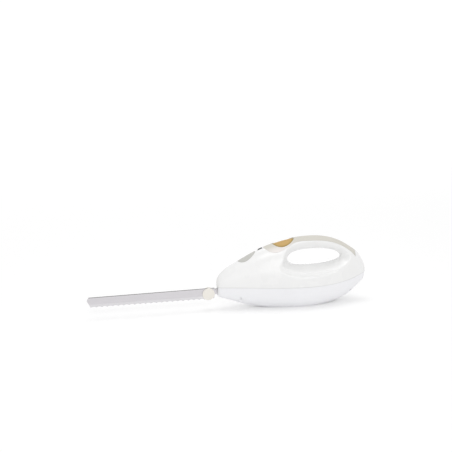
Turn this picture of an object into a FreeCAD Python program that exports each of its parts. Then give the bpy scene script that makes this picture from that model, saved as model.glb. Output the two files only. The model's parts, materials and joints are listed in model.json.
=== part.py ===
import FreeCAD, Part
import math
import os

os.makedirs("parts", exist_ok=True)
V = FreeCAD.Vector
X = V(1, 0, 0)
Y = V(0, 1, 0)
Z = V(0, 0, 1)

# Fits and clearances, in millimetres
FIT = 0.05            # radial clearance of a pin, shaft or screw in its hole
SLIDE = 0.3           # clearance at each face of a sliding piece
SEAT = 0.1            # gap between two moulded pieces that are held together
PLAY = 0.35           # gap round a button or the trigger in its opening
GROOVE = 0.35         # open line between two moulded pieces where they meet at the surface
RUN = 0.5             # air gap round a turning piece

# Two blades, side by side
BLADE_THICK = 1.2
BLADE_GAP = 0.3
BLADE_LENGTH = 210.0
BLADE_HEIGHT = 18.8
BLADE_TIP_LOSS = 1.6
TOOTH_PITCH = 8.9
TOOTH_DEPTH = 1.5
GRIND_HEIGHT = 6.0
TANG_HEIGHT = 9.0
TANG_GRIP = 22.0
DISC_RADIUS = 10.2
DISC_THICK = 2.4

# Drive: worm, wheel, eccentrics
MODULE = 1.0
WORM_STARTS = 2
WHEEL_TEETH = 26
WORM_PITCH_RADIUS = 4.0
WORM_LENGTH = 22.0
WHEEL_FACE = 6.0
BACKLASH = 0.3
THROW = 3.0
AXLE_RADIUS = 1.5
ECCENTRIC_RIM = 1.2
SHAFT_RADIUS = 2.0
SHAFT_HEIGHT = 38.0
WHEEL_BEHIND_NOSE = 99.0
YOKE_THICK = 4.0
YOKE_BAR = 2.5
FRAME_WALL = 2.6

# Motor
STATOR_WIDTH = 44.0
STATOR_HEIGHT = 36.0
STACK = 24.0
ROTOR_RADIUS = 12.0
COIL_THICK = 4.8
COIL_HEIGHT = 7.0
COMMUTATOR_RADIUS = 7.0
COMMUTATOR_LENGTH = 10.0
BUSH_RADIUS = 4.0
BUSH_LENGTH = 7.0
FAN_RADIUS = 15.0
FAN_WIDTH = 6.0
BRUSH_WIDTH = 6.8
BRUSH_HEIGHT = 4.8

# Housing
WALL = 2.6
SHELL_STEP = 0.9
NOSE_REACH = 129.0
TAIL_REACH = 128.0
NOSE_ROUND = 6.0
TAIL_ROUND = 5.0
SEAM_HEIGHT = 39.0
SEAM_RISE = 12.0
SIDE_ROOM = 10.0
HEADROOM = 14.0
HOLE_FRONT = -9.0
HOLE_LENGTH = 92.0
HOLE_HEIGHT = 27.0
BAR_HEIGHT = 22.0
CREASE_RADIUS = 3.0
COVER_THICK = 1.5
CORD_RADIUS = 3.3

# Controls
TRIGGER_LENGTH = 35.6
TRIGGER_WIDTH = 24.4
TRIGGER_SINK = 1.1
TRIGGER_TRAVEL = 3.5
RELEASE_LENGTH = 29.0
RELEASE_WIDTH = 16.0
RELEASE_TRAVEL = 4.0
BUTTON_ROUND = 0.6
SAFETY_LENGTH = 6.5
SAFETY_WIDTH = 3.6
SAFETY_PROUD = 0.6
SAFETY_TRAVEL = 2.5

# Screws
SCREW_RADIUS = 1.2
HEAD_RADIUS = 2.3
HEAD_HEIGHT = 2.0
SLOT_LENGTH = 3.0
SLOT_WIDTH = 0.6
BOSS_RADIUS = 3.5

# Heights and stations that follow from the sizes above
WHEEL_RADIUS = MODULE * WHEEL_TEETH / 2
WHEEL_X = -NOSE_REACH + WHEEL_BEHIND_NOSE
WHEEL_Z = SHAFT_HEIGHT - WHEEL_RADIUS - WORM_PITCH_RADIUS
LEAD = math.pi * MODULE * WORM_STARTS
ECCENTRIC_RADIUS = THROW + AXLE_RADIUS + ECCENTRIC_RIM
HOLE_FLOOR = SHAFT_HEIGHT + STATOR_HEIGHT / 2 + HEADROOM
BODY_TOP = HOLE_FLOOR + HOLE_HEIGHT + BAR_HEIGHT
HALF_WIDTH = STATOR_WIDTH / 2 + SIDE_ROOM


def box(x0, x1, y0, y1, z0, z1):
    return Part.makeBox(x1 - x0, y1 - y0, z1 - z0, V(x0, y0, z0))


def rod(x, y, z, axis, radius, length):
    return Part.makeCylinder(radius, length, V(x, y, z), axis)


def tube(x, y, z, axis, radius, bore, length):
    return rod(x, y, z, axis, radius, length).cut(rod(x, y, z, axis, bore, length))


def both(shape):
    return [shape, shape.mirror(V(0, 0, 0), Y)]


def save(name, *solids):
    shape = solids[0] if len(solids) == 1 else Part.makeCompound(list(solids))
    shape.exportStep("parts/" + name + ".step")


def smooth(points):
    # A soft line through a few points: height as a function of the station along X.
    xs = [p[0] for p in points]
    zs = [p[1] for p in points]
    steps = [xs[i + 1] - xs[i] for i in range(len(xs) - 1)]
    slopes = [(zs[i + 1] - zs[i]) / steps[i] for i in range(len(steps))]
    tangents = [slopes[0]]
    for i in range(1, len(steps)):
        blend = slopes[i - 1] * steps[i] + slopes[i] * steps[i - 1]
        tangents.append(blend / (steps[i - 1] + steps[i]))
    tangents.append(slopes[-1])

    def at(x):
        i = 0
        while i < len(steps) - 1 and x > xs[i + 1]:
            i += 1
        t = (x - xs[i]) / steps[i]
        chord = (2 * t ** 3 - 3 * t * t + 1) * zs[i] + (3 * t * t - 2 * t ** 3) * zs[i + 1]
        swell = (t ** 3 - 2 * t * t + t) * tangents[i] + (t ** 3 - t * t) * tangents[i + 1]
        return chord + steps[i] * swell

    return at


def ring(points):
    curve = Part.BSplineCurve()
    curve.interpolate(Points=points, PeriodicFlag=True)
    return Part.Wire([curve.toShape()])


# Lines that shape the housing, by share of the reach to the nose or to the tail
def station(share):
    return share * (TAIL_REACH if share > 0 else NOSE_REACH)


def guide(points):
    return smooth([(station(s), z) for s, z in points])


RISE = BODY_TOP - SEAM_HEIGHT
top_line = guide([(s, SEAM_HEIGHT + r * RISE) for s, r in (
    (-1, 0.225), (-0.907, 0.37), (-0.713, 0.5625), (-0.333, 0.85), (0, 0.977),
    (0.26, 1), (0.547, 0.92), (0.766, 0.731), (0.914, 0.525), (1, 0.287))])
width_line = guide([(s, w * HALF_WIDTH) for s, w in (
    (-1, 0.313), (-0.85, 0.406), (-0.58, 0.594), (-0.31, 0.806), (0, 0.969), (0.2, 1),
    (0.42, 0.916), (0.6, 0.756), (0.75, 0.563), (0.87, 0.384), (0.95, 0.266), (1, 0.203))])
keel_line = guide([
    (-1, 22.3), (-0.85, 16), (-0.7, 8.9), (-0.51, 1.9), (-0.357, -2), (-0.12, -6), (0.16, -8.5),
    (0.4, -4), (0.52, -1), (0.64, 3), (0.74, 9.5), (0.844, 18.5), (0.92, 28), (1, 37)])
seam_line = guide([(s, SEAM_HEIGHT + r * SEAM_RISE) for s, r in (
    (-1, 0.167), (-0.5, 0.067), (0, 0), (0.4, 0.025), (0.65, 0.167), (0.82, 0.417), (1, 1))])


def hull(inset, floor):
    # Egg-shaped cross sections, rounded in at the nose and at the tail.
    def section(x, inset):
        half = width_line(x) - inset
        up = top_line(x) - inset - seam_line(x)
        down = seam_line(x) - keel_line(x) - inset
        points = []
        for k in range(28):
            a = math.pi * (k / 14 - 0.5)
            reach = up if math.sin(a) > 0 else down
            points.append(V(x, half * math.cos(a), seam_line(x) + reach * math.sin(a)))
        return ring(points)

    nose = max(NOSE_ROUND - inset, 0.8)
    tail = max(TAIL_ROUND - inset, 0.8)
    wires = []
    for turn in (0, math.pi / 6, math.pi / 3):
        x = -NOSE_REACH + inset + nose * (1 - math.cos(turn))
        wires.append(section(x, inset + nose * (1 - math.sin(turn))))
    for s in (-0.94, -0.86, -0.74, -0.6, -0.45, -0.28, -0.1, 0.08, 0.26, 0.42, 0.56, 0.69, 0.8, 0.88, 0.94):
        wires.append(section(station(s), inset))
    for turn in (math.pi / 3, math.pi / 6, 0):
        x = TAIL_REACH - inset - tail * (1 - math.cos(turn))
        wires.append(section(x, inset + tail * (1 - math.sin(turn))))
    return Part.makeLoft(wires, True, False).common(box(-300, 300, -100, 100, floor, 300))


def flare(grow):
    # Finger opening of the handle: narrowest in the middle, dished out to both sides.
    front = HOLE_FRONT - grow
    back = HOLE_FRONT + HOLE_LENGTH + grow
    low = HOLE_FLOOR - grow
    high = HOLE_FLOOR + HOLE_HEIGHT + grow
    middle = V(HOLE_FRONT + 0.467 * HOLE_LENGTH, 0, HOLE_FLOOR + 0.41 * HOLE_HEIGHT)
    wires = []
    for y in (-40, -31, -23, -16, -10, -5, 0, 5, 10, 16, 23, 31, 40):
        def widen(size, bend):
            return size * (math.sqrt(1 + (y / bend) ** 2) - 1)

        fore = middle.x - front + widen(20.5, 16)
        aft = back - middle.x + widen(12.2, 6.5)
        over = high - middle.z + widen(12.6, 6)
        under = middle.z - low + widen(15.5, 20)
        points = []
        for k in range(32):
            c = math.cos(math.pi * (k / 16 + 1.25))
            s = math.sin(math.pi * (k / 16 + 1.25))
            bulge = 1 if c > 0 else 0.8
            x = math.copysign(abs(c) ** bulge, c) * (aft if c > 0 else fore)
            z = math.copysign(abs(s) ** bulge, s) * (over if s > 0 else under)
            points.append(V(middle.x + x, y, middle.z + z))
        wires.append(ring(points))
    return Part.makeLoft(wires, True, False)


def plan(points, z0, z1):
    # Upright block over a smooth outline given by half its points, front to back.
    outline = [V(x, -y, z0) for x, y in points]
    outline += [V(x, y, z0) for x, y in reversed(points) if y > 0]
    return Part.Face(ring(outline)).extrude(Z * (z1 - z0))


def oval(x, length, width, z0, z1):
    edge = Part.Ellipse(V(x, 0, z0), length / 2, width / 2).toShape()
    return Part.Face(Part.Wire([edge])).extrude(Z * (z1 - z0))


def below_seam(lift):
    # Everything under the joint between the two shells.
    count = 24
    points = [station(-1 + 2 * i / count) for i in range(count + 1)]
    curve = Part.BSplineCurve()
    curve.interpolate([V(x, -60, seam_line(x) + lift) for x in points])
    first = curve.StartPoint
    last = curve.EndPoint
    line = [V(-200, -60, first.z), first]
    edges = [Part.LineSegment(*line).toShape(), curve.toShape()]
    corners = [last, V(200, -60, last.z), V(200, -60, -60), V(-200, -60, -60), line[0]]
    for i in range(4):
        edges.append(Part.LineSegment(corners[i], corners[i + 1]).toShape())
    return Part.Face(Part.Wire(edges)).extrude(Y * 120)


def screw(seat, way, length):
    # Cross-slotted head behind its seat, shank ahead of it.
    top = seat - way * HEAD_HEIGHT
    side = way.cross(Y)
    head = Part.makeCylinder(HEAD_RADIUS, HEAD_HEIGHT, top, way)
    for along, across in ((Y, side), (side, Y)):
        corner = top - along * SLOT_LENGTH / 2 - across * SLOT_WIDTH / 2
        far = corner + along * SLOT_LENGTH
        step = across * SLOT_WIDTH
        slot = Part.Face(Part.makePolygon([corner, far, far + step, corner + step, corner]))
        head = head.cut(slot.extrude(way * 0.6 * HEAD_HEIGHT))
    return head.fuse(Part.makeCylinder(SCREW_RADIUS, length, seat, way))


def drill(seat, way, length):
    return Part.makeCylinder(SCREW_RADIUS + FIT, length, seat, way)


def spring(x, y, z, axis, radius, wire, length, turns):
    # A wound wire between two seats, drawn from its helix.
    helix = Part.makeHelix((length - 2 * wire) / turns, length - 2 * wire, radius)
    spot = Part.Wire([Part.Circle(V(radius, 0, 0), Y, wire).toShape()])
    coil = Part.Wire(helix.Edges).makePipeShell([spot], True, True)
    coil.translate(V(0, 0, wire))
    if axis != Z:
        coil.rotate(V(0, 0, 0), X, -90 * axis.y)
    coil.translate(V(x, y, z))
    return coil


# Stations of the blades and their carriers, for the right-hand side
inner = BLADE_GAP / 2
outer = inner + BLADE_THICK
root_x = -NOSE_REACH - THROW - 0.8
disc_x = root_x - DISC_RADIUS
tip_x = root_x - BLADE_LENGTH
tang_z = seam_line(-NOSE_REACH) - TANG_HEIGHT
spine_z = tang_z + 0.7 * TANG_HEIGHT
edge_z = spine_z - BLADE_HEIGHT
guide_x = -NOSE_REACH + 26
block_x = guide_x - THROW
tang_x = block_x + TANG_GRIP
stud_x = tang_x - 5
stud_radius = 2.0
block_in = inner + 0.1
block_out = outer + 3.85
block_low = tang_z - TANG_HEIGHT / 2 - 2
block_high = tang_z + TANG_HEIGHT / 2 + 2
yoke_in = WHEEL_FACE / 2 + 0.6
yoke_out = yoke_in + YOKE_THICK

# Blades: scalloped along the edge, ground thin on the outer side
tooth_count = int((BLADE_LENGTH - 2 * DISC_RADIUS) / TOOTH_PITCH)
teeth_x = tip_x + 6
corners = [
    V(teeth_x + tooth_count * TOOTH_PITCH, inner, edge_z), V(root_x, inner, edge_z + 1),
    V(root_x, inner, tang_z - TANG_HEIGHT / 2), V(tang_x, inner, tang_z - TANG_HEIGHT / 2),
    V(tang_x, inner, tang_z + TANG_HEIGHT / 2), V(root_x, inner, tang_z + TANG_HEIGHT / 2),
    V(root_x, inner, spine_z), V(tip_x + 3, inner, spine_z - BLADE_TIP_LOSS),
    V(tip_x, inner, spine_z - BLADE_TIP_LOSS - 5), V(teeth_x, inner, edge_z)]
outline = [Part.LineSegment(corners[i], corners[i + 1]).toShape() for i in range(len(corners) - 1)]
for i in range(tooth_count):
    x = teeth_x + i * TOOTH_PITCH
    crown = V(x + TOOTH_PITCH / 2, inner, edge_z + TOOTH_DEPTH)
    end = V(x + TOOTH_PITCH, inner, edge_z)
    outline.append(Part.Arc(V(x, inner, edge_z), crown, end).toShape())
blade = Part.Face(Part.Wire(outline)).extrude(Y * BLADE_THICK)
wedge = Part.makePolygon([
    V(tip_x - 5, inner + 0.25, edge_z - 1), V(tip_x - 5, outer, edge_z + GRIND_HEIGHT),
    V(tip_x - 5, outer + 1, edge_z + GRIND_HEIGHT), V(tip_x - 5, outer + 1, edge_z - 1),
    V(tip_x - 5, inner + 0.25, edge_z - 1)])
grind = Part.Face(wedge).extrude(X * (disc_x - DISC_RADIUS - tip_x))
blade = blade.cut(grind).cut(rod(stud_x, 0, tang_z, Y, stud_radius + SLIDE, outer + 1))
blade_right, blade_left = both(blade)
save("blade_left", blade_left)
save("blade_right", blade_right)

# Round guards moulded on the blades at their roots
disc = rod(disc_x, outer, edge_z + BLADE_HEIGHT / 2, Y, DISC_RADIUS, DISC_THICK)
rim = [e for e in disc.Edges if e.Closed and e.CenterOfMass.y > outer + DISC_THICK / 2]
disc = disc.makeFillet(0.9, rim)
disc_right, disc_left = both(disc)
save("blade_disc_left", disc_left)
save("blade_disc_right", disc_right)

# Blade carriers: a yoke round the eccentric, an arm, and a grooved block for the tang
slack = 0.211 * THROW + SLIDE
window_x = ECCENTRIC_RADIUS + slack
window_z = ECCENTRIC_RADIUS + THROW + 0.4
yoke_x = window_x + YOKE_BAR
yoke_z = window_z + 2
block_end = block_x + 48
groove_z = TANG_HEIGHT / 2 + SLIDE
carrier = box(WHEEL_X - yoke_x, WHEEL_X + yoke_x, yoke_in, yoke_out, WHEEL_Z - yoke_z, WHEEL_Z + yoke_z)
carrier = carrier.cut(box(
    WHEEL_X - window_x, WHEEL_X + window_x, 0, 20, WHEEL_Z - window_z, WHEEL_Z + window_z))
carrier = carrier.fuse(box(
    block_end - 4, WHEEL_X - window_x, yoke_in, yoke_out, block_low - 4.5, WHEEL_Z + yoke_z - 1))
carrier = carrier.fuse(box(block_x, block_end, block_in, block_out, block_low, block_high))
carrier = carrier.cut(box(block_x, tang_x + 0.5, 0, outer + 0.1, tang_z - groove_z, tang_z + groove_z))
carrier = carrier.cut(rod(stud_x, 0, tang_z, Y, stud_radius + FIT, 20))
carrier_right, carrier_left = both(carrier)
save("carrier_left", carrier_left)
save("carrier_right", carrier_right)

# Spring clips on the carriers: a leaf, a stud into the tang, an upright tab for the release fork
leaf = 0.6
tab_x = stud_x + 10
tab_top = block_high + 5.5
clip = box(stud_x - 9, tab_x + 6, block_out, block_out + leaf, tang_z - 2.5, tang_z + 2.5)
clip = clip.fuse(box(tab_x, tab_x + 6, block_out, block_out + leaf, tang_z, tab_top))
clip = clip.fuse(rod(stud_x, inner + 0.45, tang_z, Y, stud_radius, block_out - inner))
clip_right, clip_left = both(clip)
save("blade_clip_left", clip_left)
save("blade_clip_right", clip_right)


# Worm and wheel share one tooth form: shares of the pitch at root, pitch circle and tip
def tooth(radius, out, pitch, centre):
    shares = []
    for r in (radius - 1.25 * MODULE, radius, radius + MODULE):
        thick = math.pi * MODULE / 2 - BACKLASH - 2 * out * (r - radius) * math.tan(math.radians(20))
        shares.append((r, thick / (math.pi * MODULE) / 2))
    flank = [(r, centre - h * pitch) for r, h in shares]
    return flank + [(r, centre + h * pitch) for r, h in reversed(shares)]


def closed(points):
    return Part.Wire(Part.makePolygon(points + points[:1]).Edges)


pitch = 2 * math.pi / WHEEL_TEETH
gear_points = []
for i in range(WHEEL_TEETH):
    gear_points += tooth(WHEEL_RADIUS, 1, pitch, (i + 0.5) * pitch)
skew = WHEEL_FACE / 2 * LEAD / (2 * math.pi * WORM_PITCH_RADIUS) / WHEEL_RADIUS
sides = []
for y, turn in ((-WHEEL_FACE / 2, -skew), (WHEEL_FACE / 2, skew)):
    sides.append(closed([
        V(WHEEL_X + r * math.sin(a + turn), y, WHEEL_Z + r * math.cos(a + turn)) for r, a in gear_points]))
wheel = Part.makeLoft(sides, True, True)
wheel = wheel.cut(rod(WHEEL_X, -20, WHEEL_Z, Y, AXLE_RADIUS + FIT, 40))
save("worm_wheel", wheel)

# Eccentrics on both faces of the wheel, half a turn apart
cams = []
for side, lift in ((-1, THROW), (1, -THROW)):
    cam = rod(WHEEL_X, side * WHEEL_FACE / 2, WHEEL_Z + lift, Y * side, ECCENTRIC_RADIUS, YOKE_THICK + 0.8)
    cams.append(cam.cut(rod(WHEEL_X, -20, WHEEL_Z, Y, AXLE_RADIUS + FIT, 40)))
save("eccentrics", *cams)

# Worm: its cross section carried along the shaft with the twist of the lead
worm_x = WHEEL_X - WORM_LENGTH / 2
turn = -math.pi / 2 - math.pi * WORM_LENGTH / LEAD
worm_points = []
for i in range(WORM_STARTS):
    pitch = 2 * math.pi / WORM_STARTS
    worm_points += tooth(WORM_PITCH_RADIUS, 1, pitch, i * pitch + turn)
profile = closed([V(worm_x, r * math.cos(a), SHAFT_HEIGHT + r * math.sin(a)) for r, a in worm_points])
helix = Part.makeHelix(LEAD, WORM_LENGTH, WORM_PITCH_RADIUS)
helix.rotate(V(0, 0, 0), Y, 90)
helix.translate(V(worm_x, 0, SHAFT_HEIGHT))
spine = Part.LineSegment(V(worm_x, 0, SHAFT_HEIGHT), V(worm_x + WORM_LENGTH, 0, SHAFT_HEIGHT))
sweep = Part.BRepOffsetAPI.MakePipeShell(Part.Wire([spine.toShape()]))
sweep.setAuxiliarySpine(Part.Wire(helix.Edges), True, 0)
sweep.add(profile, False, False)
sweep.build()
sweep.makeSolid()
worm = sweep.shape().cut(rod(worm_x - 1, 0, SHAFT_HEIGHT, X, SHAFT_RADIUS + FIT, WORM_LENGTH + 2))
save("drive_worm", worm)

# Rotor, built back along the shaft from the worm
wall_x = WHEEL_X + WHEEL_RADIUS + MODULE
fan_x = wall_x + BUSH_LENGTH + 3
stack_x = fan_x + FAN_WIDTH + 8
commutator_x = stack_x + STACK + 8
bracket_x = commutator_x + COMMUTATOR_LENGTH + 6
bracket_end = bracket_x + BUSH_LENGTH + 1
bore = SHAFT_RADIUS + FIT
save("rotor_shaft", rod(worm_x - 1, 0, SHAFT_HEIGHT, X, SHAFT_RADIUS, bracket_end + 2 - worm_x))
core = tube(stack_x, 0, SHAFT_HEIGHT, X, ROTOR_RADIUS, bore, STACK)
slot = box(stack_x - 1, stack_x + STACK + 1, -1.1, 1.1, SHAFT_HEIGHT + 8.5, SHAFT_HEIGHT + ROTOR_RADIUS + 1)
for i in range(12):
    core = core.cut(slot.rotated(V(0, 0, SHAFT_HEIGHT), X, i * 30))
save("rotor_core", core)
turns = tube(stack_x - 6, 0, SHAFT_HEIGHT, X, ROTOR_RADIUS - 1, bore, 6)
save("rotor_windings", turns, turns.translated(X * (STACK + 6)))
save("commutator", tube(commutator_x, 0, SHAFT_HEIGHT, X, COMMUTATOR_RADIUS, bore, COMMUTATOR_LENGTH))
fan = rod(fan_x + FAN_WIDTH - 2, 0, SHAFT_HEIGHT, X, FAN_RADIUS, 2)
fan = fan.fuse(rod(fan_x, 0, SHAFT_HEIGHT, X, 5, FAN_WIDTH))
vane = box(fan_x, fan_x + FAN_WIDTH, -0.6, 0.6, SHAFT_HEIGHT + 4, SHAFT_HEIGHT + FAN_RADIUS - 0.5)
fan = fan.fuse([vane.rotated(V(0, 0, SHAFT_HEIGHT), X, i * 40) for i in range(9)])
save("cooling_fan", fan.cut(rod(fan_x - 1, 0, SHAFT_HEIGHT, X, bore, FAN_WIDTH + 2)))
save("front_bush", tube(wall_x, 0, SHAFT_HEIGHT, X, BUSH_RADIUS, bore, BUSH_LENGTH))
save("rear_bush", tube(bracket_end - BUSH_LENGTH, 0, SHAFT_HEIGHT, X, BUSH_RADIUS, bore, BUSH_LENGTH))

# Long screws clamp the stator between the gear frame and the rear bracket
bolt_y = STATOR_WIDTH / 2 - 6
bolt_z = SHAFT_HEIGHT - STATOR_HEIGHT / 2 + 4
bolts = []
bolt_holes = []
for y in (-bolt_y, bolt_y):
    bolts.append(screw(V(bracket_end, y, bolt_z), -X, bracket_end - wall_x - 2))
    bolt_holes.append(drill(V(bracket_end + 1, y, bolt_z), -X, bracket_end + 1 - wall_x))
save("motor_screws", *bolts)

# Stator core with its field coils
half_y = STATOR_WIDTH / 2
half_z = STATOR_HEIGHT / 2
coil_in = ROTOR_RADIUS + RUN + 1
coil_out = coil_in + COIL_THICK
stator = box(stack_x, stack_x + STACK, -half_y, half_y, SHAFT_HEIGHT - half_z, SHAFT_HEIGHT + half_z)
long_edges = [e for e in stator.Edges if abs(e.tangentAt(e.FirstParameter).x) > 0.9]
stator = stator.makeFillet(8, long_edges).cut(bolt_holes)
stator = stator.cut(rod(stack_x - 1, 0, SHAFT_HEIGHT, X, ROTOR_RADIUS + RUN, STACK + 2))
window = COIL_HEIGHT + 0.8 + FIT
bay = box(stack_x - 1, stack_x + STACK + 1, coil_in - FIT, coil_out + FIT, -window, window)
stator = stator.cut(both(bay.translated(Z * SHAFT_HEIGHT)))
save("stator_core", stator)
coil = tube(stack_x - 5, 0, SHAFT_HEIGHT, X, coil_out, coil_in, STACK + 10)
coil = coil.common(box(stack_x - 5, stack_x + STACK + 5, -30, 30, SHAFT_HEIGHT + 0.8, 300))
coil = coil.cut(box(stack_x, stack_x + STACK, -30, 30, 0, 300))
leg = box(stack_x - 5, stack_x + STACK + 5, coil_in, coil_out, 0.8, 0.8 + COIL_HEIGHT)
coil = coil.fuse(both(leg.translated(Z * SHAFT_HEIGHT)))
save("field_coils", coil, coil.mirror(V(0, 0, SHAFT_HEIGHT), Z))

# Rear bracket, brush holders, brushes and their springs
bracket = box(bracket_x, bracket_end, -half_y + 2, half_y - 2, SHAFT_HEIGHT - half_z, SHAFT_HEIGHT + 9)
bracket = bracket.cut(rod(bracket_x - 1, 0, SHAFT_HEIGHT, X, BUSH_RADIUS + FIT, 20)).cut(bolt_holes)
save("rear_bracket", bracket)
brush_x = commutator_x + (COMMUTATOR_LENGTH - BRUSH_WIDTH) / 2
brush_low = SHAFT_HEIGHT - BRUSH_HEIGHT / 2
brush_high = SHAFT_HEIGHT + BRUSH_HEIGHT / 2
brush_in = COMMUTATOR_RADIUS + SLIDE
brush_out = brush_in + 8.7
spring_end = brush_out + 4.5
holder = box(brush_x - 1, bracket_x, brush_in + 1, spring_end + 1.5, brush_low - 1.1, brush_high + 1.1)
holder = holder.cut(box(
    brush_x - FIT, brush_x + BRUSH_WIDTH + FIT, 0, spring_end, brush_low - FIT, brush_high + FIT))
save("brush_holders", *both(holder))
brush = box(brush_x, brush_x + BRUSH_WIDTH, brush_in, brush_out, brush_low, brush_high)
save("carbon_brushes", *both(brush))
coil = spring(brush_x + BRUSH_WIDTH / 2, brush_out, SHAFT_HEIGHT, Y, 1.6, 0.3, spring_end - brush_out, 4)
save("brush_springs", *both(coil))

# Gear frame: floor and rails for the yokes, walls for the axle, upright wall for the front bush
rail_z = WHEEL_Z + yoke_z + SLIDE
floor_z = WHEEL_Z - yoke_z - SLIDE
foot_z = floor_z - 2
plate_in = yoke_out + 0.8
plate_out = plate_in + FRAME_WALL
frame_x = WHEEL_X - yoke_x - THROW - 0.8
wall_end = wall_x + BUSH_LENGTH
frame = box(frame_x, wall_end, -plate_out, plate_out, foot_z, floor_z)
frame = frame.cut(box(WHEEL_X - 10, WHEEL_X + 10, -yoke_in, yoke_in, 0, 50))
for plate in both(box(frame_x, wall_end, plate_in, plate_out, foot_z, rail_z + 2)):
    frame = frame.fuse(plate)
for rail in both(box(frame_x, wall_end, plate_in - 2, plate_out, rail_z, rail_z + 2)):
    frame = frame.fuse(rail)
frame = frame.fuse(box(wall_x, wall_end, -plate_out, plate_out, foot_z, SHAFT_HEIGHT + BUSH_RADIUS + 4))
frame = frame.fuse(box(wall_x, wall_end, -bolt_y - 4, bolt_y + 4, bolt_z - 5, bolt_z + 5))
foot_y = plate_out + 3.2
front_foot = V(frame_x - 5, 0, floor_z)
feet = [front_foot, V(wall_end - 3.5, -foot_y, floor_z), V(wall_end - 3.5, foot_y, floor_z)]
frame = frame.fuse(box(wall_x, wall_end, -foot_y - 3.5, foot_y + 3.5, foot_z, floor_z))
frame = frame.fuse(box(front_foot.x - 4, frame_x, -4, 4, foot_z, floor_z))
frame = frame.cut(rod(wall_x - 1, 0, SHAFT_HEIGHT, X, BUSH_RADIUS + FIT, 20)).cut(bolt_holes)
frame = frame.cut(rod(WHEEL_X, -30, WHEEL_Z, Y, AXLE_RADIUS + FIT, 60))
frame = frame.cut([drill(foot, -Z, 5) for foot in feet])
save("gear_frame", frame)
save("wheel_axle", rod(WHEEL_X, -plate_out, WHEEL_Z, Y, AXLE_RADIUS, 2 * plate_out))
save("frame_screws", *[screw(foot, -Z, 6.4) for foot in feet])

# Body of the housing with the dished finger opening, its rim rounded over
skin = hull(0, 0)
liner = flare(WALL)
body = skin.cut(flare(0))
rims = [e for e in body.Edges if e.Length > 2 * HOLE_LENGTH and e.BoundBox.ZMin > SEAM_HEIGHT]
body = body.makeFillet(CREASE_RADIUS, rims)
cavity = hull(WALL, WALL).cut(liner)
core_hull = hull(0.65 * WALL, WALL / 2)
core_flare = flare(WALL / 2)

# Screw towers: counterbored from below in the lower shell, blind in the upper shell
front_x = -NOSE_REACH + 39
front_y = width_line(front_x) - WALL - BOSS_RADIUS
rear_x = TAIL_REACH - 28
rear_y = CORD_RADIUS + BOSS_RADIUS + 1.2
towers = []
for x, y in ((front_x, front_y), (rear_x, rear_y)):
    towers += [V(x, -y, seam_line(x)), V(x, y, seam_line(x))]
land = 14.0
tower_solids = [rod(t.x, t.y, -20, Z, BOSS_RADIUS, 300) for t in towers]
save("housing_screws", *[screw(t - Z * land, Z, land + 10) for t in towers])

# Release button with stem and collar, fork on the stem, spring on its seat
release_x = -NOSE_REACH + 50
stem_x = tab_x + 3
stem_radius = 3.0
prong_z = tab_top + 0.5
seat_z = prong_z + 9.5
collar_z = top_line(stem_x) - 10
button = oval(release_x, RELEASE_LENGTH, RELEASE_WIDTH, seat_z + 5, 300).common(skin)
button = button.makeFillet(BUTTON_ROUND, [e for e in button.Edges if e.BoundBox.ZMin > seat_z + 6])
button = button.cut(hull(WALL, 0))
stem = rod(stem_x, 0, prong_z + 4.5, Z, stem_radius, 300).common(skin)
button = button.fuse(stem).fuse(rod(stem_x, 0, collar_z, Z, 6, 2))
save("release_button", button)
fork = box(stem_x - 4, stem_x + 4, -block_out - 2.4, block_out + 2.4, prong_z + 3.5, seat_z - 0.5)
for prong in both(box(stem_x - 6, stem_x + 6, block_out + 0.1, block_out + 2.4, prong_z, prong_z + 6)):
    fork = fork.fuse(prong)
save("release_fork", fork.cut(rod(stem_x, 0, prong_z + 4.5, Z, stem_radius + FIT, 30)))
save("release_spring", spring(stem_x, 0, seat_z + 2.5, Z, 4.6, 0.45, collar_z - seat_z - 2.5, 6))
seat_plate = box(stem_x - 10, stem_x + 10, -60, 60, seat_z, seat_z + 2.5)
seat_plate = seat_plate.cut(rod(stem_x, 0, 0, Z, stem_radius + SLIDE, 300))
release_gap = oval(release_x, RELEASE_LENGTH + 2 * PLAY, RELEASE_WIDTH + 2 * PLAY, seat_z + 5, 300)

# Trigger over its switch, on a shelf in front of the finger opening
trigger_x = HOLE_FRONT - 8
plunger_x = trigger_x - 10.5
coil_x = trigger_x + 0.5
shelf_z = top_line(trigger_x) - 29.5
switch_top = shelf_z + 14
post_z = switch_top + TRIGGER_TRAVEL + HEAD_HEIGHT + 0.5
bar_low = HOLE_FLOOR + HOLE_HEIGHT - 1
sunk = hull(TRIGGER_SINK, 0)
trigger = oval(trigger_x, TRIGGER_LENGTH, TRIGGER_WIDTH, bar_low, 300).common(sunk)
trigger = trigger.makeFillet(BUTTON_ROUND, [e for e in trigger.Edges if e.BoundBox.ZMin > bar_low + 1])
trigger = trigger.cut(hull(WALL + TRIGGER_SINK, 0))
posts = [rod(plunger_x, 0, post_z, Z, 3, 300), rod(coil_x, 0, post_z, Z, 3.4, 300)]
save("trigger", trigger.fuse([post.common(sunk) for post in posts]))
save("switch_plunger", rod(plunger_x, 0, shelf_z + 7, Z, 2, post_z - shelf_z - 7))
save("trigger_spring", spring(coil_x, 0, shelf_z, Z, 2.8, 0.4, post_z - shelf_z, 6))
switch_screws = [V(plunger_x - 6, 0, switch_top), V(plunger_x + 5, 0, switch_top)]
switch_holes = [drill(s, -Z, 30) for s in switch_screws]
switch = box(plunger_x - 8.5, plunger_x + 7.4, -5.5, 5.5, shelf_z, switch_top)
switch = switch.cut(rod(plunger_x, 0, shelf_z + 3, Z, 2 + FIT, 30)).cut(switch_holes)
save("switch_body", switch)
save("switch_screws", *[screw(s, -Z, 15.5) for s in switch_screws])
shelf = box(plunger_x - 12, HOLE_FRONT - 1, -60, 60, shelf_z - 2.5, shelf_z).cut(switch_holes)
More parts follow.
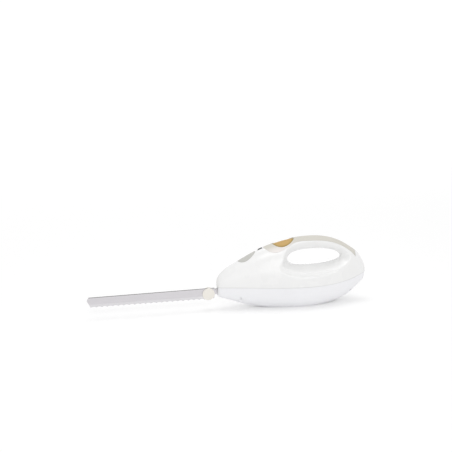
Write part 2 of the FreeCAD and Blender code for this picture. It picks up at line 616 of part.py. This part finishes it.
trigger_gap = oval(trigger_x, TRIGGER_LENGTH + 2 * PLAY, TRIGGER_WIDTH + 2 * PLAY, bar_low, 300).cut(liner)

# Soft grip strip, set into the top of the handle
grip_end = HOLE_FRONT + HOLE_LENGTH + 25


def strip(grow):
    points = [
        (trigger_x - 33.5, 0), (trigger_x - 29.5, 8.2), (trigger_x - 22, 13), (trigger_x - 12, 15.2),
        (trigger_x - 2, 15.1), (trigger_x + 8, 13), (HOLE_FRONT + 10, 10.8), (HOLE_FRONT + 30, 10.6),
        (HOLE_FRONT + 60, 10.3), (HOLE_FRONT + 90, 9), (grip_end - 4, 8), (grip_end + 6, 6.5),
        (grip_end + 10, 0)]
    grown = [(x - grow if y == 0 and x < 0 else x, y + grow if y > 0 else 0) for x, y in points]
    block = plan(grown, HOLE_FLOOR - 10, 300)
    return block.common(box(-300, grip_end + grow, -60, 60, 0, 300))


cover = strip(0).common(body).cut(hull(COVER_THICK, 0)).cut(trigger_gap)
save("grip_cover", cover)
recess = strip(GROOVE).cut(hull(COVER_THICK + SEAT, 0))

# Safety slide in a pocket on the crest, with its retainer under the wall
safety_x = trigger_x - 38.7
tilt = math.degrees(math.atan((top_line(safety_x + 3) - top_line(safety_x - 3)) / 6))


def on_crest(shape):
    shape.rotate(V(0, 0, 0), Y, -tilt)
    shape.translate(V(safety_x, 0, top_line(safety_x)))
    return shape


long = SAFETY_LENGTH / 2
wide = SAFETY_WIDTH / 2
knob = box(-long, long, -wide, wide, -1.1, SAFETY_PROUD)
knob = knob.makeFillet(0.5, [e for e in knob.Edges if e.CenterOfMass.z > SAFETY_PROUD - 0.1])
for i in range(4):
    knob = knob.cut(box(1.25 * i - 2.1, 1.25 * i - 1.65, -9, 9, SAFETY_PROUD - 0.35, 9))
knob = knob.fuse(box(-2, 2, -1.2, 1.2, -5, -1))
save("safety_slide", on_crest(knob))
clip = box(-long, long, -wide, wide, -4.9, -3.9).cut(box(-2 - FIT, 2 + FIT, -1.2 - FIT, 1.2 + FIT, -9, 0))
save("safety_retainer", on_crest(clip))
pocket = box(-long - SAFETY_TRAVEL - SLIDE, long + SLIDE, -wide - SLIDE, wide + SLIDE, -1.1 - SLIDE, 9)
pocket = pocket.fuse(box(-2 - SAFETY_TRAVEL - SLIDE, 2 + SLIDE, -1.2 - SLIDE, 1.2 + SLIDE, -9, 0))
pocket = on_crest(pocket)

# Upper shell
nose_slot = box(-NOSE_REACH - 5, guide_x, -3, 3, tang_z - 5.5, tang_z + 7.5)
fittings = [piece.common(core_hull).cut(core_flare) for piece in [seat_plate, shelf] + tower_solids]
upper = body.cut(cavity).fuse(fittings)
pilots = [drill(t, Z, 12) for t in towers]
upper = upper.cut([below_seam(GROOVE), nose_slot, recess, trigger_gap, release_gap, pocket] + pilots)
save("upper_shell", upper)

# Lower shell: floor posts for the gear frame, cradles for the motor, ribs for the capacitor, air slots
cradle_z = SHAFT_HEIGHT - half_z
cap_x = bracket_end + 11
cap_z = cradle_z + 2
ribs = [rod(foot.x, foot.y, -20, Z, 4, foot_z + 20) for foot in feet]
for x in (stack_x + 2, stack_x + STACK - 5):
    ribs.append(box(x, x + 3, -16, 16, -20, cradle_z))
ribs.append(box(bracket_x + 2, bracket_end - 2, -14, 14, -20, cradle_z))
for x in (cap_x + 3, cap_x + 11):
    ribs.append(box(x, x + 2, -7, 7, -20, cap_z))
lower = hull(SHELL_STEP, 0).cut(cavity).fuse([rib.common(core_hull) for rib in ribs + tower_solids])
lower = lower.common(below_seam(0))
cuts = [drill(foot - Z * 2, -Z, 5) for foot in feet] + [nose_slot]
for t in towers:
    cuts.append(rod(t.x, t.y, -20, Z, HEAD_RADIUS + SLIDE, t.z - land + 20))
    cuts.append(drill(t - Z * (land + 1), Z, land + 2))
for i in range(4):
    x = stack_x + STACK + 4 + 5 * i
    cuts.append(box(x, x + 2.2, -10, 10, -1, WALL + 1))
cord_z = seam_line(0.9 * TAIL_REACH) - CORD_RADIUS - 1.7
inlet_radius = CORD_RADIUS + 1.7
cuts.append(rod(TAIL_REACH - 22, 0, cord_z, X, inlet_radius + FIT, 60))
save("lower_shell", lower.cut(cuts))

# Cord inlet in the tail, with a flange inside the wall
inlet = rod(TAIL_REACH - 20, 0, cord_z, X, inlet_radius, 17)
inlet = inlet.fuse(rod(TAIL_REACH - 20, 0, cord_z, X, inlet_radius + 1.4, 2.5))
save("cord_inlet", inlet.cut(rod(TAIL_REACH - 30, 0, cord_z, X, CORD_RADIUS, 60)))

# Capacitor on its ribs
capacitor = box(cap_x, cap_x + 16, -6.5, 6.5, cap_z, cap_z + 12)
save("capacitor", capacitor.makeFillet(1.5, [e for e in capacitor.Edges if e.CenterOfMass.z > cap_z + 0.1]))

# Blade guide: fills the nose between the shells, with a way through for carriers and tangs
shelf_y = block_out + SLIDE
nose_block = box(-NOSE_REACH, guide_x, -40, 40, 0, block_high + 5).common(hull(WALL + SEAT, 0))
way = box(block_x - THROW - 0.8, guide_x + 1, -shelf_y, shelf_y, block_low - SLIDE, block_high + SLIDE)
throat = box(-NOSE_REACH, guide_x, -outer - SLIDE, outer + SLIDE, tang_z - groove_z, tang_z + groove_z)
save("blade_guide", nose_block.cut(way).cut(throat))
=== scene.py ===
import json
import math

import bmesh
import bpy
from mathutils import Matrix, Vector


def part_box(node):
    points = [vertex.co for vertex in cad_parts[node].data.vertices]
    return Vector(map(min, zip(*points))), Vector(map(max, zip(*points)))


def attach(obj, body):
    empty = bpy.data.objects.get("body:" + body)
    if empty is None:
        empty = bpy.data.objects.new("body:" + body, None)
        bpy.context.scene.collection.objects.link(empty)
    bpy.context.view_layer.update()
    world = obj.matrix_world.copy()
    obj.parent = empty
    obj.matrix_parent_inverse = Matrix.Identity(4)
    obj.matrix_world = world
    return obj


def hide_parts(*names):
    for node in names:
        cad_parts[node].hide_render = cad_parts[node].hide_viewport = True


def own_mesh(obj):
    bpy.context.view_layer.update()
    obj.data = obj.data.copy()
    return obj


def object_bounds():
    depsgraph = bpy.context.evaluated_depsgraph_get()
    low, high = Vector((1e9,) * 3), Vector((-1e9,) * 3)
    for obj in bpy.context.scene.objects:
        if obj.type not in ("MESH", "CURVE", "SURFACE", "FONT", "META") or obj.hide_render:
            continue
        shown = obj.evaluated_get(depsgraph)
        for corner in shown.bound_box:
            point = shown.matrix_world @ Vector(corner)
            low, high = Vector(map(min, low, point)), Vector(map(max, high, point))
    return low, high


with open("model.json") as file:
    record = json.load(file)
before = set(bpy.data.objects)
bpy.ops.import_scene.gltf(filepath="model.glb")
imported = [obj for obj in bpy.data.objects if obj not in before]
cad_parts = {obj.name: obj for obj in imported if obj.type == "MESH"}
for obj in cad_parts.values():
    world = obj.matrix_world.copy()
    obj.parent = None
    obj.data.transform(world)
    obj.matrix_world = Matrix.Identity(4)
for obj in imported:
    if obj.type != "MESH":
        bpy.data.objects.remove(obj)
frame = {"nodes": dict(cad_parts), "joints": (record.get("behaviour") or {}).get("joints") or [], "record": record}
cad_low, cad_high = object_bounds()

# Lower shell: the keel of the housing, injection moulded in a cool white ABS with a satin face.
# It carries the motor and the gear frame on ribs and posts, and the upper shell laps over its edge.


class Tone:
    """One output of a finish's shader nodes; arithmetic on tones adds Math nodes."""

    def __init__(self, tree, socket=None):
        self.tree = tree
        self.socket = socket

    def node(self, kind, settings, sockets, output=0):
        made = self.tree.nodes.new("ShaderNode" + kind)
        for key, value in settings.items():
            setattr(made, key, value)
        for key, value in sockets.items():
            if isinstance(value, Tone):
                self.tree.links.new(value.socket, made.inputs[key])
            else:
                made.inputs[key].default_value = value
        return Tone(self.tree, made.outputs[output] if made.outputs else None)

    def math(self, operation, first, second):
        return self.node("Math", {"operation": operation}, {0: first, 1: second})

    def __add__(self, other):
        return self.math("ADD", self, other)

    def __radd__(self, other):
        return self.math("ADD", other, self)

    def __sub__(self, other):
        return self.math("SUBTRACT", self, other)

    def __rsub__(self, other):
        return self.math("SUBTRACT", other, self)

    def __mul__(self, other):
        return self.math("MULTIPLY", self, other)

    def __rmul__(self, other):
        return self.math("MULTIPLY", other, self)

    def step(self, low, high):
        # 0 below low, 1 above high, and a soft ramp between them.
        limits = {0: self, 1: low, 2: high}
        return self.node("MapRange", {"interpolation_type": "SMOOTHSTEP"}, limits)

    def between(self, dark, light):
        # A colour that runs from dark to light as this tone runs from 0 to 1.
        colours = [c if isinstance(c, Tone) else (*c, 1) for c in (dark, light)]
        return self.node("Mix", {"data_type": "RGBA"}, {0: self, 6: colours[0], 7: colours[1]}, 2)

    def bump(self, strength, depth):
        # A normal that shows this tone as relief.
        return self.node("Bump", {}, {"Strength": strength, "Distance": depth, "Height": self})

    def noise(self, per_metre, detail):
        # Noise over this place, with about this many grains to the metre.
        return self.node("TexNoise", {}, {"Vector": self, "Scale": per_metre, "Detail": detail})

    def bands(self, direction, width):
        # Stripes over this place, across an axis or the diagonal, each about this wide.
        pitch_at_scale_one = 0.314
        return self.node("TexWave", {"bands_direction": direction}, {
            "Vector": self, "Scale": pitch_at_scale_one / width})

    def stretched(self, scale):
        # This place, multiplied along each axis.
        return self.node("Mapping", {}, {"Vector": self, "Scale": scale})

    def part(self, axis):
        # The X, Y or Z of this place or direction.
        return self.node("SeparateXYZ", {}, {"Vector": self}, axis)

    def length(self):
        # How far this place lies from the origin.
        return self.node("VectorMath", {"operation": "LENGTH"}, {0: self}, "Value")


def start_finish(name):
    material = bpy.data.materials.new(name)
    material.use_nodes = True
    material.node_tree.nodes.clear()
    return material, Tone(material.node_tree).node("TexCoord", {}, {}, "Object")


def close_finish(place, sockets):
    surface = place.node("BsdfPrincipled", {}, sockets)
    place.node("OutputMaterial", {}, {"Surface": surface})


def shaded(colour, share):
    return tuple(c * share for c in colour)


def moulded(name, colour, roughness, grain_size, relief, coat=0.0, shade_line=None):
    # Spark-eroded grain all over, with faint clouds where the melt cooled unevenly.
    clouds_per_metre = 24
    cloud_shade = 0.98
    joint_shade = 0.77
    coat_roughness = 0.08
    grain_depth = grain_size / 20
    material, place = start_finish(name)
    grain = place.noise(1 / grain_size, detail=3)
    cloud = place.noise(clouds_per_metre, detail=2).step(0.3, 0.7)
    face = (cloud * 0.7 + grain * 0.3).between(shaded(colour, cloud_shade), colour)
    # An optional mask paints shade over the face in a darker copy of its colour.
    if shade_line:
        face = shade_line(place).between(face, shaded(colour, joint_shade))
    close_finish(place, {
        "Base Color": face,
        "Roughness": roughness + 0.10 * (cloud - 0.5) + 0.08 * (grain - 0.5),
        "Coat Weight": coat,
        "Coat Roughness": coat_roughness,
        "Normal": grain.bump(relief, grain_depth)})
    return material


def dress(material, *names):
    for name in names:
        frame["nodes"][name].material_slots[0].material = material


# Its white is set a little paler than the upper shell's: painted light that offsets the shade on its downward
# faces.
cool_white = moulded(
    "cool_white_abs", colour=(0.885, 0.885, 0.905), roughness=0.36, grain_size=0.0005, relief=0.12)
dress(cool_white, "lower_shell")

# Gear frame and rear bracket: dark glass-filled nylon, moulded, screwed to the lower shell's posts.
# The fork under the release button, the switch plunger and the capacitor's case share the moulding.
filled_nylon = moulded(
    "filled_nylon", colour=(0.11, 0.11, 0.12), roughness=0.62, grain_size=0.0008, relief=0.25)
dress(filled_nylon, "gear_frame", "rear_bracket", "release_fork", "switch_plunger", "capacitor")


# Screws: zinc-plated steel, self-tapping, driven from below into the towers and the frame's posts.
# The plating is bright with a faint yellow passivation in patches.
def drawn_metal(name, colour, roughness, line_width, grain):
    # Fine lines left by drawing, turning or grinding; they run along the axis with the long grain.
    patches_per_metre = 60
    line_shade = 0.82
    line_relief = 0.12
    line_depth = line_width / 10
    material, place = start_finish(name)
    lines = place.stretched(tuple(1 / size for size in grain)).noise(1, detail=4)
    patch = place.noise(patches_per_metre, detail=3)
    close_finish(place, {
        "Base Color": (lines * 0.6 + patch * 0.4).between(shaded(colour, line_shade), colour),
        "Metallic": 1.0,
        "Roughness": roughness + 0.22 * (lines - 0.5) + 0.12 * (patch - 0.5),
        "Normal": lines.bump(line_relief, line_depth)})
    return material


zinc = drawn_metal(
    "zinc_plate", colour=(0.66, 0.65, 0.60), roughness=0.34, line_width=0.0004,
    grain=(0.0008, 0.0008, 0.0008))
dress(zinc, "housing_screws", "frame_screws", "motor_screws", "switch_screws")

# Worm wheel and blade carriers: natural acetal with a film of grease, moulded.
# The wheel turns on a steel axle; the carriers slide in the gear frame and hold the tangs.
acetal = moulded(
    "natural_acetal", colour=(0.80, 0.77, 0.68), roughness=0.33, grain_size=0.0009, relief=0.15,
    coat=0.25)
dress(acetal, "worm_wheel", "carrier_left", "carrier_right")

# Axle, eccentrics, shaft, clips and brush springs: bright drawn steel, ground where it runs.
# The long grain lies along the shaft.
drawn_steel = drawn_metal(
    "drawn_steel", colour=(0.62, 0.63, 0.65), roughness=0.26, line_width=0.0003,
    grain=(0.006, 0.0003, 0.0003))
dress(drawn_steel, "wheel_axle", "eccentrics", "rotor_shaft", "brush_springs")
dress(drawn_steel, "blade_clip_left", "blade_clip_right")

# Worm, bushes and brush holders: turned brass and sintered bronze.
# Turning leaves fine rings round the shaft's axis.
turned_brass = drawn_metal(
    "turned_brass", colour=(0.70, 0.50, 0.24), roughness=0.30, line_width=0.0003,
    grain=(0.0003, 0.004, 0.004))
dress(turned_brass, "drive_worm", "front_bush", "rear_bush", "brush_holders")


# Stator and rotor cores: stacks of thin electrical sheet, blued by annealing.
# The edges of the sheets show as fine lines across the shaft.
def stacked_sheet(name, colour, sheet):
    patches_per_metre = 90
    edge_shade = 0.55
    edge_relief = 0.3
    edge_depth = sheet / 5
    material, place = start_finish(name)
    edges = place.bands("X", sheet)
    patch = place.noise(patches_per_metre, detail=4)
    close_finish(place, {
        "Base Color": (edges * 0.5 + patch * 0.5).between(shaded(colour, edge_shade), colour),
        "Metallic": 0.85,
        "Roughness": 0.42 + 0.2 * patch,
        "Normal": edges.bump(edge_relief, edge_depth)})
    return material


annealed_sheet = stacked_sheet("annealed_sheet", colour=(0.30, 0.31, 0.35), sheet=0.0005)
dress(annealed_sheet, "stator_core", "rotor_core")


# Windings and commutator: enamelled copper wire laid in turns, and drawn copper bars.
# The enamel gives the wire a clear, slightly darker coat.
def wound_copper(name, colour, wire):
    patches_per_metre = 120
    gap_shade = 0.5
    turn_relief = 0.5
    turn_depth = wire / 4
    material, place = start_finish(name)
    turns = place.bands("DIAGONAL", wire)
    patch = place.noise(patches_per_metre, detail=3)
    close_finish(place, {
        "Base Color": (turns * 0.6 + patch * 0.4).between(shaded(colour, gap_shade), colour),
        "Metallic": 0.9,
        "Roughness": 0.28 + 0.15 * patch,
        "Coat Weight": 0.4,
        "Normal": turns.bump(turn_relief, turn_depth)})
    return material


enamelled_copper = wound_copper("enamelled_copper", colour=(0.66, 0.30, 0.15), wire=0.0006)
dress(enamelled_copper, "field_coils", "rotor_windings", "commutator")

# Brushes, fan, switch case and safety retainer: black mouldings, the brushes of pressed carbon.
# The blade guide behind the nose slot is the same black, a painted shade so that the slot reads dark.
black_nylon = moulded(
    "black_nylon", colour=(0.028, 0.028, 0.030), roughness=0.5, grain_size=0.0007, relief=0.2)
dress(black_nylon, "carbon_brushes", "cooling_fan", "switch_body", "safety_retainer", "blade_guide")


# Cord inlet: a black rubber bush in the tail, turned over at its lip and flanged inside the wall.
# Its bore takes a round cord.
def add_piece(name, mesh, material):
    # Smooth faces, with a hard edge wherever two of them meet at more than the crease angle.
    crease = math.radians(35)
    for face in mesh.faces:
        face.smooth = True
    for edge in mesh.edges:
        edge.smooth = len(edge.link_faces) == 2 and edge.calc_face_angle() < crease
    shape = bpy.data.meshes.new(name)
    mesh.to_mesh(shape)
    mesh.free()
    shape.materials.append(material)
    piece = bpy.data.objects.new(name, shape)
    bpy.context.scene.collection.objects.link(piece)
    return piece


inlet_low, inlet_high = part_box("cord_inlet")
inlet_centre = (inlet_low + inlet_high) / 2
inlet_mount = next(m for m in frame["record"]["mounts"] if m["name"] == "cord_inlet")
bore_radius = inlet_mount["dims"]["r_mm"] / 1000
barrel_wall = 0.0017
barrel_radius = bore_radius + barrel_wall
flange_radius = (inlet_high.z - inlet_low.z) / 2
flange_thick = 0.0025
flange_end = inlet_low.x + flange_thick
lip_drop = 0.0008
facets = 64
profile = [
    (inlet_low.x, bore_radius), (inlet_high.x - lip_drop, bore_radius),
    (inlet_high.x, bore_radius + lip_drop), (inlet_high.x, barrel_radius - lip_drop / 2),
    (inlet_high.x - lip_drop / 2, barrel_radius), (flange_end, barrel_radius),
    (flange_end, flange_radius), (inlet_low.x, flange_radius)]
mesh = bmesh.new()
rim = [mesh.verts.new((x, 0, inlet_centre.z + r)) for x, r in profile]
edges = [mesh.edges.new((rim[i - 1], rim[i])) for i in range(len(rim))]
bmesh.ops.spin(
    mesh, geom=rim + edges, cent=(0, 0, inlet_centre.z), axis=(1, 0, 0),
    angle=2 * math.pi, steps=facets, use_merge=True)
bmesh.ops.remove_doubles(mesh, verts=mesh.verts, dist=1e-6)
bmesh.ops.recalc_face_normals(mesh, faces=mesh.faces)
inlet = add_piece("cord_inlet_bush", mesh, black_nylon)
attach(inlet, "housing")
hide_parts("cord_inlet")


# Upper shell: the back of the housing with the loop handle, moulded in one in a warm white ABS.
# It is a little glossier than the lower shell, which it meets in a lapped joint.
# A grey hairline is painted along the edge of that joint, as painted shade where the joint's gap lies in shadow.
def joint_shade_line(place):
    # Painted shade: 1 up to a thin band just above the joint, where the gap's shadow falls, and 0 higher up.
    # The joint's height is a polynomial of the distance along the housing in decimetres.
    first, *others = 0.0013675, 0.0022025, 0.0005464, 0.0006375, -0.0005385, 0.039045
    joint_shade_full, joint_shade_gone = 0.00085, 0.00115
    station = 10 * place.part("X")
    joint = first
    for factor in others:
        joint = joint * station + factor
    return 1 - (place.part("Z") - joint).step(joint_shade_full, joint_shade_gone)


warm_white = moulded(
    "warm_white_abs", colour=(0.875, 0.874, 0.870), roughness=0.28, grain_size=0.0004, relief=0.04,
    coat=0.4, shade_line=joint_shade_line)
dress(warm_white, "upper_shell")


# Grip strip: soft thermoplastic rubber moulded into a recess along the top of the handle.
# It is matt, with a fine pebbled grain; its side-facing flanks up to the trigger are painted a little paler, a
# painted highlight where they face the lamps.
def soft_grip(name, colour, flank_light, pebble, flank_light_ends_at):
    clouds_per_metre = 45
    cloud_shade = 0.93
    pebble_relief = 0.35
    pebble_depth = pebble / 8
    fade = 0.012
    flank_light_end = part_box(flank_light_ends_at)[1].x
    material, place = start_finish(name)
    cells = place.node("TexVoronoi", {}, {"Vector": place, "Scale": 1 / pebble}, "Distance")
    cloud = place.noise(clouds_per_metre, detail=4)
    base = (cells * 0.5 + cloud * 0.5).between(shaded(colour, cloud_shade), colour)
    beside = 1 - place.part("X").step(flank_light_end - fade, flank_light_end + fade)
    side = place.node("NewGeometry", {}, {}, "Normal").part("Y")
    flank = (side * side).step(0.25, 0.8)
    close_finish(place, {
        # Painted highlight: the side-facing flanks in front of the trigger's end are made paler.
        "Base Color": (flank * beside).between(base, flank_light),
        "Roughness": 0.66 + 0.14 * cloud,
        "Sheen Weight": 0.08,
        "Normal": (1 - cells).bump(pebble_relief, pebble_depth)})
    return material


grip_rubber = soft_grip(
    "soft_grip", colour=(0.685, 0.662, 0.605), flank_light=(0.865, 0.825, 0.805), pebble=0.0009,
    flank_light_ends_at="trigger")
dress(grip_rubber, "grip_cover")


# Trigger: a domed paddle in amber ABS over the switch, pressed by the forefinger.
# Its rounded rim is painted a deeper, browner amber than its crown, as painted shade where the rim turns away and
# meets the gap round it.
def amber_paddle(name, crown, rim, node):
    grains_per_metre = 2200
    grain_relief, grain_depth = 0.08, 0.00003
    clouds_per_metre = 70
    cloud_shade = 0.9
    rim_shade_start, rim_shade_full = 0.72, 0.97
    low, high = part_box(node)
    material, place = start_finish(name)
    centred = place.node("Mapping", {"vector_type": "TEXTURE"}, {
        "Vector": place, "Location": ((low.x + high.x) / 2, 0, 0),
        "Scale": ((high.x - low.x) / 2, (high.y - low.y) / 2, 1)})
    reach = centred.stretched((1, 1, 0)).length()
    grain = place.noise(grains_per_metre, detail=2)
    cloud = place.noise(clouds_per_metre, detail=3)
    face = cloud.between(shaded(crown, cloud_shade), crown)
    close_finish(place, {
        # Painted shade: the colour darkens to the rim towards the paddle's ends and sides.
        "Base Color": reach.step(rim_shade_start, rim_shade_full).between(face, rim),
        "Roughness": 0.42 + 0.08 * cloud,
        "Normal": grain.bump(grain_relief, grain_depth)})
    return material


amber = amber_paddle("amber_abs", crown=(0.57, 0.36, 0.115), rim=(0.34, 0.24, 0.06), node="trigger")
dress(amber, "trigger")

# Release button: a lens-shaped push button in light grey ABS on the slope above the nose.
# It rides on a stem with a collar, over a spring.
light_grey = moulded(
    "light_grey_abs", colour=(0.555, 0.55, 0.52), roughness=0.34, grain_size=0.0005, relief=0.12,
    coat=0.1)
dress(light_grey, "release_button")


# Return springs: hard steel wire, coiled cold, one under the trigger and one round the button stem.
# They stand on ledges of the housing; the real ones close up as the trigger or the button goes down, and these
# coils are built at rest length only.
def return_spring(node, joint, wire, turns):
    steps_per_turn = 28
    wire_sides = 12
    slack = 0.00005
    low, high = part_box(node)
    centre = (low + high) / 2
    coil_radius = (high.y - low.y) / 2 - wire
    rise = high.z - low.z - 2 * wire
    steps = turns * steps_per_turn
    coil = bmesh.new()
    ring = bmesh.ops.create_circle(coil, segments=wire_sides, radius=wire)["verts"]
    bmesh.ops.rotate(coil, verts=ring, matrix=Matrix.Rotation(math.pi / 2, 3, "X"))
    bmesh.ops.translate(coil, verts=ring, vec=(centre.x + coil_radius, 0, low.z + wire))
    bmesh.ops.spin(
        coil, geom=coil.verts[:] + coil.edges[:], cent=(centre.x, 0, 0), axis=(0, 0, 1),
        dvec=(0, 0, rise / steps), angle=2 * math.pi * turns, steps=steps)
    bmesh.ops.holes_fill(coil, edges=coil.edges)
    bmesh.ops.recalc_face_normals(coil, faces=coil.faces)
    piece = add_piece(node + "_coil", coil, drawn_steel)
    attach(piece, "housing")
    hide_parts(node)
    travel = next(j["range_m"][1] for j in frame["joints"] if j["name"] == joint)
    keep = 1 - (travel + slack) / (high.z - low.z)
    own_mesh(piece)


return_spring("trigger_spring", "trigger_press", wire=0.0004, turns=6)
return_spring("release_spring", "release_press", wire=0.00045, turns=6)

# Safety slide: a small black thumb slide on the crest, locked by pushing it towards the nose.
# It is moulded with its stem, which the retainer holds under the wall.
dress(black_nylon, "safety_slide")


# Blades: two stamped strips of stainless steel, ground lengthwise, lying flat against each other.
# The scalloped edge is ground thin across the strip, and the up-facing spine is painted a dark grey as painted
# shade.
def ground_blade(name, flat, bevel, spine, node):
    long_grain = (40, 2600, 2600)
    cross_grain = (2400, 300, 120)
    bevel_full, bevel_end = 0.0052, 0.0064
    line_shade = 0.86
    line_relief, line_depth = 0.1, 0.00003
    edge_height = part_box(node)[0].z
    material, place = start_finish(name)
    lines = place.stretched(long_grain).noise(1, detail=4)
    cuts = place.stretched(cross_grain).noise(1, detail=3)
    grind = 1 - place.part("Z").step(edge_height + bevel_full, edge_height + bevel_end)
    # Painted shade: faces that point up, along the spine, take the dark spine colour.
    top = place.node("NewGeometry", {}, {}, "Normal").part("Z").step(0.5, 0.9)
    face = lines.between(shaded(flat, line_shade), flat)
    edge = cuts.between(shaded(bevel, line_shade), bevel)
    relief = lines * (1 - grind) + cuts * grind
    close_finish(place, {
        "Base Color": top.between(grind.between(face, edge), spine),
        "Metallic": 1.0,
        "Roughness": 0.34 + 0.16 * (lines - 0.5) + 0.06 * grind + 0.2 * top,
        "Normal": relief.bump(line_relief, line_depth)})
    return material


blade_steel = ground_blade(
    "ground_steel", flat=(0.675, 0.657, 0.68), bevel=(0.76, 0.748, 0.765), spine=(0.17, 0.17, 0.16),
    node="blade_left")
dress(blade_steel, "blade_left", "blade_right")

# Blade discs: round cream guards, moulded over the roots of the blades.
# They keep the fingers off the edge while the blades are pushed in.
cream = moulded(
    "cream_abs", colour=(0.86, 0.825, 0.765), roughness=0.36, grain_size=0.0006, relief=0.12)
dress(cream, "blade_disc_left", "blade_disc_right")


# Floor: a plain white sheet, evenly lit; it keeps the knife's soft shadow.
# To the camera and in reflections it glows a little, and more far out,
# so that it reads as white to its edge.
def on_show(tone):
    # 1 where it is seen, directly, mirrored or through glass, and 0 where it lights the knife.
    seen = tone.node("LightPath", {}, {}, "Is Camera Ray")
    for kind in ("Is Glossy Ray", "Is Transmission Ray"):
        seen = seen + tone.node("LightPath", {}, {}, kind)
    return seen


floor_size = 12.0
fibres_per_metre = 300
fibre_white, sheet_white = (0.90,) * 3, (0.92,) * 3
near_glow, far_glow = (0.12,) * 3, (0.39,) * 3
glow_rise, glow_full = 0.3, 2.4
mesh = bmesh.new()
bmesh.ops.create_grid(mesh, x_segments=1, y_segments=1, size=floor_size)
bmesh.ops.translate(mesh, verts=mesh.verts, vec=(0, 0, cad_low.z))
paper, place = start_finish("white_paper")
fibre = place.noise(fibres_per_metre, detail=3)
sheet = place.node("BsdfDiffuse", {}, {"Color": fibre.between(fibre_white, sheet_white)})
far_out = place.length().step(glow_rise, glow_full)
glow = place.node("Emission", {}, {
    "Color": far_out.between(near_glow, far_glow), "Strength": on_show(place)})
lit = place.node("AddShader", {}, {0: sheet, 1: glow})
place.node("OutputMaterial", {}, {"Surface": lit})
add_piece("floor", mesh, paper)

# Light: an even white room with four soft panels: a small key high above the camera, one straight
# above the knife, a wide one low in front and one low behind.
room_light = 0.73
world = bpy.data.worlds.new("white_room")
world.use_nodes = True
world.node_tree.nodes.clear()
air = Tone(world.node_tree)
shown = room_light + (1 - room_light) * on_show(air)
room = air.node("Background", {}, {"Color": (1, 1, 1, 1), "Strength": shown})
air.node("OutputWorld", {}, {"Surface": room})
bpy.context.scene.world = world


def soft_panel(name, spot, size, watts):
    knife_middle = Vector((0, 0, 0.05))
    lamp = bpy.data.lights.new(name, "AREA")
    lamp.shape = "SQUARE"
    lamp.size = size
    lamp.energy = watts
    panel = bpy.data.objects.new(name, lamp)
    panel.location = spot
    panel.rotation_euler = (knife_middle - Vector(spot)).to_track_quat("-Z", "Y").to_euler()
    bpy.context.scene.collection.objects.link(panel)


soft_panel("key_panel", spot=(-0.35, -1.35, 1.25), size=0.5, watts=2.2)
soft_panel("top_panel", spot=(-0.1, 0.1, 1.5), size=0.8, watts=4.5)
soft_panel("front_panel", spot=(0.2, -2.2, 0.2), size=1.4, watts=11)
soft_panel("back_panel", spot=(0.4, 2.2, 0.2), size=1.4, watts=8)

# Camera: a little to the blade's side of square on, looking down on the knife.
# It has a long lens on a full-frame sensor and stands about a metre and a half away.
look_down = 16.98
turn_right = 11.5
bpy.context.scene.view_settings.view_transform = "Standard"
lens = bpy.data.cameras.new("photo_camera")
lens.lens = 70.28
lens.sensor_width = 36
camera = bpy.data.objects.new("photo_camera", lens)
camera.location = (-0.387, -1.346, 0.564)
camera.rotation_euler = (math.radians(90 - look_down), 0, math.radians(-turn_right))
bpy.context.scene.collection.objects.link(camera)
bpy.context.scene.camera = camera
